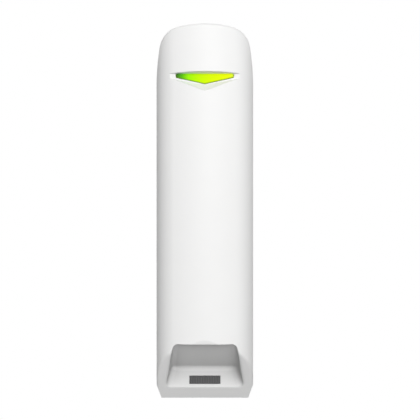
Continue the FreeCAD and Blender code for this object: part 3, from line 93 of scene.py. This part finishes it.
class Nodes:
    """The nodes of a material or of the world."""

    def __init__(self, owner):
        owner.use_nodes = True
        self.tree = owner.node_tree

    def add(self, kind, **inputs):
        """A new node with some of its inputs set or linked."""
        node = self.tree.nodes.new(kind)
        for name, source in inputs.items():
            self.feed(node.inputs[name.replace("_", " ")], source)
        return node

    def feed(self, socket, source):
        """Links a socket to another one, or sets it to a number, a vector or a colour."""
        if isinstance(source, bpy.types.NodeSocket):
            self.tree.links.new(source, socket)
        elif socket.type == "RGBA":
            socket.default_value = (*source, 1)
        else:
            socket.default_value = source

    def maths(self, operation, first, second=0.0, clamp=False):
        """The result of one operation, kept within 0..1 where clamp is set."""
        node = self.add("ShaderNodeMath")
        node.operation = operation
        node.use_clamp = clamp
        self.feed(node.inputs[0], first)
        self.feed(node.inputs[1], second)
        return node.outputs[0]

    def spread(self, source, low, high):
        """Stretches a value from 0..1 to low..high."""
        return self.add("ShaderNodeMapRange", Value=source, To_Min=low, To_Max=high).outputs[0]

    def seen(self):
        """1 for the rays of the camera, of reflections and of clear pieces, and 0 for all others."""
        rays = self.add("ShaderNodeLightPath").outputs
        mirrored = self.maths("MAXIMUM", rays["Is Glossy Ray"], rays["Is Transmission Ray"])
        return self.maths("MAXIMUM", rays["Is Camera Ray"], mirrored)


class Finish(Nodes):
    """A procedural material: one Principled shader and the nodes that feed it."""

    def __init__(self, name, colour, roughness, **sockets):
        self.material = bpy.data.materials.new(name)
        super().__init__(self.material)
        self.shader = self.tree.nodes["Principled BSDF"]
        self.set("Base Color", colour)
        self.set("Roughness", roughness)
        for socket, amount in sockets.items():
            self.set(socket.replace("_", " "), amount)
        self.place = self.add("ShaderNodeTexCoord").outputs["Object"]
        self.colour = colour
        self.roughness = roughness
        self.bump = None

    def set(self, socket, source):
        """Feeds a socket of the shader, by its name."""
        self.feed(self.shader.inputs[socket], source)

    def axis(self, letter):
        """One coordinate of the surface point, in metres."""
        return self.add("ShaderNodeSeparateXYZ", Vector=self.place).outputs[letter]

    def noise(self, size, detail=3.0, stretch=(1, 1, 1)):
        """Noise whose blobs are about as large as size, in metres."""
        mapping = self.add("ShaderNodeMapping", Vector=self.place, Scale=stretch)
        return self.add("ShaderNodeTexNoise", Vector=mapping.outputs[0], Scale=1 / size,
                        Detail=detail).outputs[0]

    def cells(self, size):
        """Round cells of about a size, in metres: 0 at their middles."""
        return self.add("ShaderNodeTexVoronoi", Vector=self.place, Scale=1 / size).outputs[0]

    def ramp(self, source, stops):
        """A colour ramp through (position, colour) stops."""
        node = self.add("ShaderNodeValToRGB", Fac=source)
        elements = node.color_ramp.elements
        while len(elements) < len(stops):
            elements.new(1.0)
        for element, (position, colour) in zip(elements, stops):
            element.position = position
            element.color = (*colour, 1)
        return node.outputs[0]

    def mix(self, factor, first, second):
        """A blend of two colours, each a tuple or a link."""
        node = self.add("ShaderNodeMix")
        node.data_type = "RGBA"
        for index, source in ((0, factor), (6, first), (7, second)):
            self.feed(node.inputs[index], source)
        return node.outputs[2]

    def mottle(self, size, share):
        """Varies the base colour a little, from darker to lighter, over blobs of a size."""
        darker = tuple(part * (1 - share) for part in self.colour)
        lighter = tuple(min(part * (1 + share), 1.0) for part in self.colour)
        self.set("Base Color", self.mix(self.noise(size), darker, lighter))

    def wear(self, size, amount):
        """Varies the roughness over blobs of a size."""
        low, high = self.roughness - amount, self.roughness + amount
        self.set("Roughness", self.spread(self.noise(size), low, high))

    def paint_hollow_shade(self, reach, share, spared):
        """Paints shade into a mottled colour in hollows about as deep as reach, but not where spared is 1.
        """
        mottled = self.shader.inputs["Base Color"].links[0].from_socket
        # Painted shade: ambient occlusion darkens the colour wherever the surface is hemmed in.
        sky = self.add("ShaderNodeAmbientOcclusion", Distance=reach)
        shaded = tuple(part * (1 - share) for part in self.colour)
        self.set("Base Color", self.mix(self.maths("MAXIMUM", sky.outputs["AO"], spared), shaded, mottled))

    def relief(self, source, depth, soft_edge=0.0):
        """Bump from a source, over edges that are rounded by a radius."""
        self.bump = self.add("ShaderNodeBump", Height=source, Distance=depth)
        if soft_edge:
            self.soften(soft_edge)
        self.set("Normal", self.bump.outputs[0])

    def soften(self, radius):
        """Rounds the edges under the bump by a radius."""
        bevel = self.add("ShaderNodeBevel", Radius=radius)
        bevel.samples = BEVEL_SAMPLES
        self.feed(self.bump.inputs["Normal"], bevel.outputs[0])


SOFT_EDGE = 0.35 * MM
GRAIN = 0.25 * MM
GRAIN_DEPTH = 0.004 * MM


def moulded(name, colour, roughness, grain=GRAIN, depth=GRAIN_DEPTH, soft_edge=SOFT_EDGE, **sockets):
    """Moulded plastic: an even colour with slight flow marks, over a fine spark-eroded grain."""
    finish = Finish(name, colour, roughness, **sockets)
    finish.mottle(size=9 * MM, share=0.012)
    finish.wear(size=3 * MM, amount=0.03)
    finish.relief(finish.noise(grain), depth, soft_edge)
    return finish


ALONG_Z = (1, 1, 12)
ALONG_Z_SHORT = (1, 1, 6)
ALONG_Y = (1, 8, 1)


def sheet_metal(name, colour, roughness, run=ALONG_Z):
    """Rolled or drawn metal, whose fine marks are squeezed together by run, an amount for each axis."""
    finish = Finish(name, colour, roughness, Metallic=1.0)
    finish.mottle(size=2 * MM, share=0.05)
    marks = finish.noise(0.4 * MM, detail=4.0, stretch=run)
    finish.set("Roughness", finish.spread(marks, roughness - 0.08, roughness + 0.1))
    finish.relief(marks, depth=0.004 * MM, soft_edge=0.1 * MM)
    return finish


SHELL_WHITE = (0.87, 0.87, 0.865)
# Shade is painted into hollows within this reach and by this share, but hardly above the foot: from
# SCOOP_TOP upwards the painted shade fades out over SCOOP_FADE, apart from a rest that SPARED leaves.
PAINTED_SHADE_REACH = 20 * MM
PAINTED_SHADE_SHARE = 0.95
SCOOP_TOP = height(30)
SCOOP_FADE = 30 * MM
SPARED = 0.94
# The bands beside the scoop's mouth, where edges are rounded by RIM_SOFTNESS more than elsewhere.
RIM_TOP = height(19.5)
RIM_FOOT = height(3.8)
RIM_INNER = 9 * MM
RIM_FADE = 2 * MM
RIM_SOFTNESS = 1.5 * MM


def shell_finish():
    """White plastic with shade painted into the scoop's hollows, and with edges softest beside the scoop's
    mouth.
    """
    finish = moulded("white_shell", SHELL_WHITE, 0.5, soft_edge=0, Specular_IOR_Level=0.3)
    level = finish.axis("Z")
    above = finish.maths("DIVIDE", finish.maths("SUBTRACT", level, SCOOP_TOP), SCOOP_FADE, clamp=True)
    # Painted shade in the scoop's hollows, strong below SCOOP_TOP and faint above it.
    finish.paint_hollow_shade(PAINTED_SHADE_REACH, PAINTED_SHADE_SHARE, finish.maths("MULTIPLY", above, SPARED))
    under = finish.maths("DIVIDE", finish.maths("SUBTRACT", RIM_TOP, level), RIM_FADE, clamp=True)
    over = finish.maths("DIVIDE", finish.maths("SUBTRACT", level, RIM_FOOT), RIM_FADE, clamp=True)
    aside = finish.maths("SUBTRACT", finish.maths("ABSOLUTE", finish.axis("X")), RIM_INNER)
    beside = finish.maths("DIVIDE", aside, RIM_FADE, clamp=True)
    near = finish.maths("MULTIPLY", finish.maths("MULTIPLY", under, over), beside)
    finish.soften(finish.spread(near, SOFT_EDGE, SOFT_EDGE + RIM_SOFTNESS))
    return finish


def bracket_finish():
    return moulded("white_bracket", (0.84, 0.84, 0.835), 0.5, depth=0.006 * MM)


def cover_finish():
    return moulded("white_cover", (0.86, 0.86, 0.855), 0.46)


# The lens: half its width, and its lower outline, which rises from the apex to both ends.
LENS_HALF = 10.33 * MM
LENS_APEX = height(112.8)
LENS_END = height(115.05)
LENS_RUN = 10.1 * MM
LENS_SLOPE = (LENS_END - LENS_APEX) / LENS_RUN
LENS_RIM = 0.46 * MM
LENS_RIM_GREEN = (0.14, 0.22, 0.02)
# Its greens from the left end, at 0, to the right end, at 1.
LENS_GREENS = [
    (0.02, (0.05, 0.15, 0.025)),
    (0.11, (0.10, 0.52, 0.005)),
    (0.22, (0.34, 0.90, 0.003)),
    (0.40, (0.56, 0.93, 0.002)),
    (0.62, (0.72, 0.95, 0.002)),
    (0.92, (0.84, 0.96, 0.003)),
    (1.00, (0.66, 0.90, 0.06)),
]
# The share of the lens's colour that it gives off as a glow: painted light, which keeps it bright in the
# shade of its pocket.
LENS_PAINTED_GLOW = 0.6


def indicator_finish():
    """Green plastic with a painted glow: brighter and yellower to the right, darker along its outline."""
    finish = Finish("indicator_painted_glow", (0.6, 0.9, 0.01), 0.3, Specular_IOR_Level=0.01)
    along = finish.maths("ADD", finish.maths("DIVIDE", finish.axis("X"), 2 * LENS_HALF), 0.5)
    green = finish.ramp(along, LENS_GREENS)
    across = finish.maths("ABSOLUTE", finish.axis("X"))
    over_apex = finish.maths("SUBTRACT", finish.axis("Z"), LENS_APEX)
    over_edge = finish.maths("SUBTRACT", over_apex, finish.maths("MULTIPLY", across, LENS_SLOPE))
    from_end = finish.maths("SUBTRACT", LENS_HALF, across)
    inside = finish.maths("DIVIDE", finish.maths("MINIMUM", over_edge, from_end), LENS_RIM, clamp=True)
    shaded = finish.mix(inside, LENS_RIM_GREEN, green)
    # Painted light: the lens glows with its own greens, so the shade of the pocket's rim hardly darkens
    # it.
    finish.set("Base Color", finish.mix(1 - LENS_PAINTED_GLOW, BLACK, shaded))
    finish.set("Emission Color", shaded)
    finish.set("Emission Strength", LENS_PAINTED_GLOW)
    finish.relief(finish.noise(0.5 * MM), depth=0.002 * MM, soft_edge=0.08 * MM)
    return finish


def guide_finish():
    """Clear moulded plastic, slightly uneven."""
    finish = Finish("clear_guide", (0.93, 0.96, 0.93), 0.08, Transmission_Weight=1.0, IOR=1.49)
    finish.mottle(size=4 * MM, share=0.02)
    finish.wear(size=2 * MM, amount=0.03)
    finish.relief(finish.noise(1.5 * MM), depth=0.003 * MM)
    return finish


LED_YELLOW = (0.9, 0.82, 0.25)
LED_WHITE = (0.92, 0.92, 0.85)


def led_finish():
    """Yellow resin that turns white in places, like a dome in its rim."""
    finish = Finish("led_resin", (0.85, 0.8, 0.3), 0.3, Coat_Weight=0.4)
    cells = finish.cells(0.8 * MM)
    finish.set("Base Color", finish.mix(cells, LED_YELLOW, LED_WHITE))
    finish.relief(cells, depth=0.02 * MM)
    return finish


def window_plastic(name, colour):
    """The dark plastic of the sensor window, finely grained."""
    return moulded(name, colour, 0.5, grain=0.2 * MM, soft_edge=0.05 * MM, Specular_IOR_Level=0.15)


def window_finish():
    return window_plastic("dark_window", (0.075, 0.075, 0.076))


def rib_finish():
    """The window's plastic where its ribs are worn a little lighter."""
    return window_plastic("window_rib", (0.1, 0.1, 0.101))


def foam_finish():
    """Closed-cell foam, with small pits."""
    finish = Finish("black_foam", (0.02, 0.02, 0.021), 0.95)
    finish.mottle(size=0.5 * MM, share=0.3)
    finish.relief(finish.cells(0.25 * MM), depth=0.08 * MM)
    return finish


def shroud_finish():
    return moulded("black_shroud", (0.012, 0.012, 0.013), 0.6, depth=0.01 * MM, soft_edge=0.1 * MM)


def can_finish():
    """A drawn nickel can."""
    return sheet_metal("nickel_can", (0.62, 0.62, 0.6), 0.2, ALONG_Z_SHORT)


def filter_finish():
    """A coated infrared filter, dark and faintly violet."""
    finish = Finish("infrared_filter", (0.05, 0.032, 0.055), 0.12, Specular_IOR_Level=0.8, Coat_Weight=0.6)
    finish.mottle(size=1.5 * MM, share=0.15)
    finish.wear(size=1 * MM, amount=0.04)
    finish.relief(finish.noise(0.6 * MM), depth=0.001 * MM)
    return finish


TRACK_PITCH = 1.1 * MM
TRACK_THRESHOLD = 0.72
TRACK_GREEN = (0.03, 0.17, 0.06)
MASK_GREEN = (0.010, 0.075, 0.03)
ALONG_BOARD = (1, 0, 1)


def board_finish():
    """Green solder mask over copper tracks, which show as lighter, slightly raised lines."""
    finish = Finish("circuit_board", (0.012, 0.09, 0.035), 0.32, Specular_IOR_Level=0.55)
    bent = finish.add("ShaderNodeTexBrick", Vector=finish.place, Scale=1 / (6 * TRACK_PITCH),
                      Mortar_Size=0.05, Brick_Width=1.7, Row_Height=0.6)
    flat = finish.add("ShaderNodeVectorMath", Vector=finish.place)
    flat.operation = "MULTIPLY"
    flat.inputs[1].default_value = ALONG_BOARD
    wave = finish.add("ShaderNodeTexWave", Vector=flat.outputs[0], Scale=0.5 / TRACK_PITCH, Distortion=1.5)
    tracks = finish.maths("GREATER_THAN", wave.outputs["Fac"], TRACK_THRESHOLD)
    lines = finish.maths("MAXIMUM", tracks, bent.outputs["Fac"])
    finish.set("Base Color", finish.mix(lines, MASK_GREEN, TRACK_GREEN))
    finish.wear(size=1 * MM, amount=0.05)
    finish.relief(lines, depth=0.02 * MM)
    return finish


def socket_finish():
    return moulded("ivory_socket", (0.78, 0.74, 0.62), 0.5, soft_edge=0.1 * MM)


CONDUCTOR_PITCH = 1.0 * MM
BETWEEN_CONDUCTORS = (0.55, 0.56, 0.58)
OVER_CONDUCTORS = (0.8, 0.82, 0.84)


def ribbon_finish():
    """A flat cable: white insulation over parallel conductors."""
    finish = Finish("flat_cable", (0.75, 0.77, 0.8), 0.35)
    wave = finish.add("ShaderNodeTexWave", Vector=finish.place, Scale=0.5 / CONDUCTOR_PITCH).outputs["Fac"]
    finish.set("Base Color", finish.mix(wave, BETWEEN_CONDUCTORS, OVER_CONDUCTORS))
    finish.wear(size=2 * MM, amount=0.05)
    finish.relief(wave, depth=0.06 * MM)
    return finish


def shield_finish():
    return sheet_metal("tinned_shield", (0.66, 0.67, 0.69), 0.35)


def ceramic_finish():
    """The tan ceramic of chip capacitors."""
    finish = Finish("chip_ceramic", (0.42, 0.3, 0.16), 0.4)
    finish.mottle(size=0.4 * MM, share=0.1)
    finish.wear(size=0.5 * MM, amount=0.05)
    finish.relief(finish.noise(0.15 * MM), depth=0.004 * MM, soft_edge=0.06 * MM)
    return finish


def chip_finish():
    return moulded("chip_epoxy", (0.018, 0.018, 0.02), 0.55, grain=0.12 * MM, depth=0.008 * MM,
                   soft_edge=0.08 * MM)


def tin_finish():
    return sheet_metal("tinned_antenna", (0.72, 0.71, 0.69), 0.3)


# The levels of the cell's sleeve: its dark band, and where the bare steel begins above and below.
BATTERY_FOOT, BATTERY_HEAD = (corner[2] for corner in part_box("battery_cell"))
BATTERY_CROWN = BATTERY_HEAD - 4.2 * MM
BATTERY_CAP = BATTERY_HEAD - 1.15 * MM
BATTERY_BASE = BATTERY_FOOT + 0.6 * MM
SLEEVE_BLUE = (0.02, 0.12, 0.36)
SLEEVE_BAND = (0.02, 0.022, 0.026)
BARE_STEEL = (0.6, 0.6, 0.59)


def battery_finish():
    """A lithium cell in a plain printed sleeve: blue, with a dark band and bare steel ends."""
    finish = Finish("battery_sleeve", SLEEVE_BLUE, 0.25, Coat_Weight=0.4, Coat_Roughness=0.15)
    level = finish.axis("Z")
    band = finish.maths("GREATER_THAN", level, BATTERY_CROWN)
    sleeve = finish.mix(band, SLEEVE_BLUE, SLEEVE_BAND)
    cap = finish.maths("GREATER_THAN", level, BATTERY_CAP)
    base = finish.maths("LESS_THAN", level, BATTERY_BASE)
    bare = finish.maths("MAXIMUM", cap, base)
    finish.set("Base Color", finish.mix(bare, sleeve, BARE_STEEL))
    finish.set("Metallic", bare)
    finish.wear(size=2 * MM, amount=0.05)
    finish.relief(finish.noise(3 * MM), depth=0.02 * MM, soft_edge=0.1 * MM)
    return finish


def cradle_finish():
    return moulded("cradle_plastic", (0.03, 0.03, 0.032), 0.55, soft_edge=0.15 * MM)


def spring_finish():
    return sheet_metal("spring_steel", (0.55, 0.56, 0.57), 0.28)


def button_finish():
    """Grey silicone, a little dusty."""
    finish = Finish("silicone_button", (0.27, 0.28, 0.29), 0.7, Sheen_Weight=0.2)
    finish.mottle(size=1.5 * MM, share=0.08)
    finish.wear(size=1 * MM, amount=0.06)
    finish.relief(finish.noise(0.3 * MM), depth=0.012 * MM, soft_edge=0.2 * MM)
    return finish


def plunger_finish():
    return moulded("acetal_plunger", (0.8, 0.8, 0.78), 0.35, soft_edge=0.15 * MM)


def screw_finish():
    return sheet_metal("zinc_screw", (0.5, 0.5, 0.5), 0.32, ALONG_Y)


SLOT_FINISHES = {
    "shell": shell_finish,
    "indicator": indicator_finish,
    "light_guide": guide_finish,
    "led": led_finish,
    "window": window_finish,
    "foam": foam_finish,
    "black_plastic": shroud_finish,
    "can": can_finish,
    "sensor_filter": filter_finish,
    "pcb": board_finish,
    "socket": socket_finish,
    "ribbon": ribbon_finish,
    "shield": shield_finish,
    "ceramic": ceramic_finish,
    "chip": chip_finish,
    "tin": tin_finish,
    "battery": battery_finish,
    "cradle": cradle_finish,
    "spring_steel": spring_finish,
    "button": button_finish,
    "plunger": plunger_finish,
    "screw": screw_finish,
}
NODE_FINISHES = {"mounting_bracket": bracket_finish, "rear_cover": cover_finish}


def dress(piece, material):
    """Gives a piece one material."""
    piece.data.materials.clear()
    piece.data.materials.append(material)


def dress_nodes():
    """Gives every node of the model the finish of its slot, or its own where it has one."""
    materials = {slot: make().material for slot, make in SLOT_FINISHES.items()}
    for part in frame["record"]["subparts"]:
        name = part["node"]
        special = NODE_FINISHES.get(name)
        material = special().material if special else materials[part["material_slot"]]
        dress(frame["nodes"][name], material)


# Fine details that the model leaves to the scene

def new_piece(name, mesh, material):
    """Adds a piece of the detector that is made here, and rides with it."""
    piece = add_object(name, mesh)
    dress(piece, material)
    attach(piece, "detector")


WINDOW_TILT = math.radians(20)
WINDOW_WIDTH = 11.0 * MM
WINDOW_LENGTH = 2.85 * MM
WINDOW_SINK = 0.25 * MM
WINDOW_LEVEL = height(6.8)
RIB_PITCH = 0.88 * MM
RIB_WIDTH = 0.46 * MM
RIB_RISE = 0.12 * MM
RIB_STEPS = 6
RIB_MARGIN = 0.2 * MM


def window_frame():
    """The middle of the window's face, and its directions up the slope and out of it."""
    low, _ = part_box("sensor_window")
    out = Vector((0, -math.cos(WINDOW_TILT), math.sin(WINDOW_TILT)))
    up = Vector((0, math.sin(WINDOW_TILT), math.cos(WINDOW_TILT)))
    # The foot of the face is the foremost point of the window.
    middle_y = low[1] + WINDOW_LENGTH / 2 * up.y
    middle_z = WINDOW_LEVEL - WINDOW_SINK * math.sin(WINDOW_TILT)
    return Vector((0, middle_y, middle_z)), up, out


def add_rib(shape, base, up, out):
    """A half-round bar on the window's face, closed at its ends and its back."""
    half_length = WINDOW_LENGTH / 2 - RIB_MARGIN
    rows = []
    for along in (-half_length, half_length):
        row = []
        for step in range(RIB_STEPS + 1):
            angle = math.pi * step / RIB_STEPS
            across = Vector((-math.cos(angle) * RIB_WIDTH / 2, 0, 0))
            row.append(shape.verts.new(base + across + up * along + out * math.sin(angle) * RIB_RISE))
        rows.append(row)
    foot, head = rows
    for step in range(RIB_STEPS):
        shape.faces.new((foot[step], foot[step + 1], head[step + 1], head[step]))
    shape.faces.new(reversed(foot))
    shape.faces.new(head)
    shape.faces.new((foot[0], head[0], head[-1], foot[-1]))


def add_window_ribs():
    """Upright ribs, moulded on the face of the sensor window."""
    middle, up, out = window_frame()
    mesh = bpy.data.meshes.new("window_ribs")
    shape = bmesh.new()
    count = int((WINDOW_WIDTH - RIB_MARGIN) / RIB_PITCH)
    for index in range(count):
        aside = (index - (count - 1) / 2) * RIB_PITCH
        add_rib(shape, middle + Vector((aside, 0, 0)), up, out)
    bmesh.ops.recalc_face_normals(shape, faces=shape.faces)
    shape.to_mesh(mesh)
    shape.free()
    new_piece("window_ribs", mesh, rib_finish().material)


def squeeze_spring():
    """Gives the tamper spring its own copy of its mesh."""
    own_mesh(frame["nodes"]["tamper_spring"])


# Floor, light and camera

# The detector hangs on a wall, so the floor lies so far below that a view from below is free.
FLOOR_DROP = 0.6
FLOOR_SIZE = 8.0
FLOOR_GREY = (0.43, 0.43, 0.43)
FLOOR_GLOW = 0.95
# The world's strength: straight ahead, and at both sides, times a share overhead and one behind.
AMBIENT = 0.48
AMBIENT_ASIDE = 0.3
OVERHEAD_SHARE = 0.42
BEHIND_SHARE = 2.6


def floor_material():
    """Pale paint that the camera sees as white where light reaches it, and greyer in a shadow."""
    finish = Finish("pale_floor", FLOOR_GREY, 0.9, Specular_IOR_Level=0.1)
    finish.mottle(size=0.3, share=0.01)
    finish.relief(finish.noise(2 * MM), depth=0.02 * MM)
    finish.set("Emission Color", WHITE)
    finish.set("Emission Strength", finish.maths("MULTIPLY", finish.seen(), FLOOR_GLOW))
    return finish.material


def add_floor():
    """A level square floor, which is no part of the object."""
    mesh = bpy.data.meshes.new("floor")
    half = FLOOR_SIZE / 2
    level = BOTTOM - FLOOR_DROP
    corners = [(-half, -half, level), (half, -half, level), (half, half, level), (-half, half, level)]
    mesh.from_pydata(corners, [], [(0, 1, 2, 3)])
    floor = add_object("floor", mesh)
    dress(floor, floor_material())


def set_world():
    """Soft ambient light, seen as plain white by the camera and in reflections."""
    world = bpy.data.worlds.new("studio")
    bpy.context.scene.world = world
    nodes = Nodes(world)
    place = nodes.add("ShaderNodeTexCoord")
    way = nodes.add("ShaderNodeSeparateXYZ", Vector=place.outputs["Generated"]).outputs
    strength = nodes.spread(nodes.maths("ABSOLUTE", way["X"]), AMBIENT, AMBIENT_ASIDE)
    for direction, share in (("Z", OVERHEAD_SHARE), ("Y", BEHIND_SHARE)):
        strength = nodes.maths("MULTIPLY", strength, nodes.spread(way[direction], 1.0, share))
    ambient = nodes.tree.nodes["Background"]
    nodes.feed(ambient.inputs["Color"], WHITE)
    nodes.feed(ambient.inputs["Strength"], strength)
    white = nodes.add("ShaderNodeBackground", Color=WHITE, Strength=1.0)
    blend = nodes.add("ShaderNodeMixShader")
    for socket, source in zip(blend.inputs, (nodes.seen(), ambient.outputs[0], white.outputs[0])):
        nodes.feed(socket, source)
    nodes.feed(nodes.tree.nodes["World Output"].inputs[0], blend.outputs[0])


KEY_AZIMUTH = math.radians(7)
KEY_ELEVATION = math.radians(20)
KEY_DISTANCE = 1.2
KEY_SIZE = (0.3, 0.6)
KEY_POWER = 11.3


def add_key_light():
    """A soft lamp aimed at the detector from its front, a little to the right and above."""
    target = Vector((0, FRONT / 2, 0))
    level = math.cos(KEY_ELEVATION)
    way = Vector((math.sin(KEY_AZIMUTH) * level, -math.cos(KEY_AZIMUTH) * level, math.sin(KEY_ELEVATION)))
    light = bpy.data.lights.new("key_light", "AREA")
    light.shape = "RECTANGLE"
    light.size, light.size_y = KEY_SIZE
    light.energy = KEY_POWER
    lamp = add_object("key_light", light)
    lamp.location = target + way * KEY_DISTANCE
    lamp.rotation_euler = (-way).to_track_quat("-Z", "Y").to_euler()


CAMERA_DISTANCE = 0.5
CLIP_START = 0.02
SENSOR_WIDTH = 36
# In pixels of the photograph: its size, the focal length, the row of the camera's level and the
# column of the detector's middle.
PHOTO_SIZE = 420
FOCAL_PIXELS = 1421
HORIZON_PIXEL = 213.5
CENTRE_PIXEL = 204.85


def add_camera():
    """The photograph's camera, half a metre in front of the detector and level with its middle."""
    data = bpy.data.cameras.new("camera")
    data.sensor_width = SENSOR_WIDTH
    data.lens = SENSOR_WIDTH * FOCAL_PIXELS / PHOTO_SIZE
    data.shift_x = (PHOTO_SIZE / 2 - CENTRE_PIXEL) / PHOTO_SIZE
    data.shift_y = (HORIZON_PIXEL - PHOTO_SIZE / 2) / PHOTO_SIZE
    data.clip_start = CLIP_START
    camera = add_object("camera", data)
    camera.location = (0, FRONT - CAMERA_DISTANCE, 0)
    camera.rotation_euler = (math.radians(90), 0, 0)
    bpy.context.scene.camera = camera


dress_nodes()
add_window_ribs()
squeeze_spring()
add_floor()
set_world()
add_key_light()
add_camera()
bpy.context.scene.view_settings.view_transform = "Standard"
